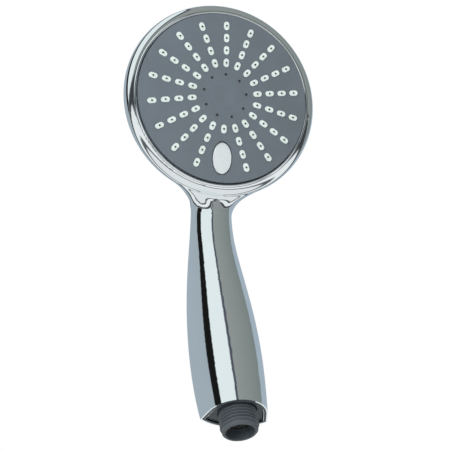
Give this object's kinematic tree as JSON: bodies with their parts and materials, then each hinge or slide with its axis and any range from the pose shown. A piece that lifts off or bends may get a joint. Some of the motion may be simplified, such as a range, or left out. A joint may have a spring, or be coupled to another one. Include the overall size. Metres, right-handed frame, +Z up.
{
  "type": "handheld shower head",
  "caption": "Round chromed hand shower with a grey spray face, soft nozzles, a push-button diverter and a threaded inlet at the foot of its handle.",
  "frame": {"origin": "centre of the inlet's mouth face", "axes": "+Z up the inlet and the handle, the spray face looks towards -Y and down, +X to the right of someone looking at the face"},
  "size_m": [0.12, 0.0983, 0.2538],
  "materials": {
    "chrome": "polished chrome on plastic",
    "face_grey": "satin grey plastic",
    "silicone": "soft pale silicone",
    "button_satin": "satin silver coating",
    "inlet_dark": "dark grey plastic",
    "inner_white": "natural acetal",
    "inner_black": "black moulded plastic",
    "seal_rubber": "black rubber",
    "stainless": "stainless steel"
  },
  "bodies": {
    "root": {"shower_body": "chrome", "trim_ring": "chrome", "face_plate": "face_grey", "nozzle_mat": "silicone", "spray_chamber": "inner_white", "chamber_seal": "seal_rubber", "swirl_plate": "inner_white", "channel_cover": "inner_white", "valve_housing": "inner_black", "housing_gasket": "seal_rubber", "valve_lid": "inner_white", "stem_seal": "seal_rubber", "housing_screws": "stainless", "button_spring": "stainless", "water_tube": "inner_white", "tube_foot_seal": "seal_rubber", "tube_top_seal": "seal_rubber", "inlet_spigot": "inlet_dark", "spigot_clip": "stainless", "flow_regulator": "inner_white", "strainer": "inner_black", "end_plate": "inlet_dark"},
    "button": {"button_cap": "button_satin", "valve_stem": "inner_white", "stem_seals": "seal_rubber"}
  },
  "joints": [
    {"name": "button_press", "type": "slide", "parent": "root", "child": "button", "axis": [0, 0.859, 0.512], "range_m": [0, 0.003], "stiffness_N_per_m": 600, "springref_m": -0.002, "deforming": ["button_spring"]}
  ]
}
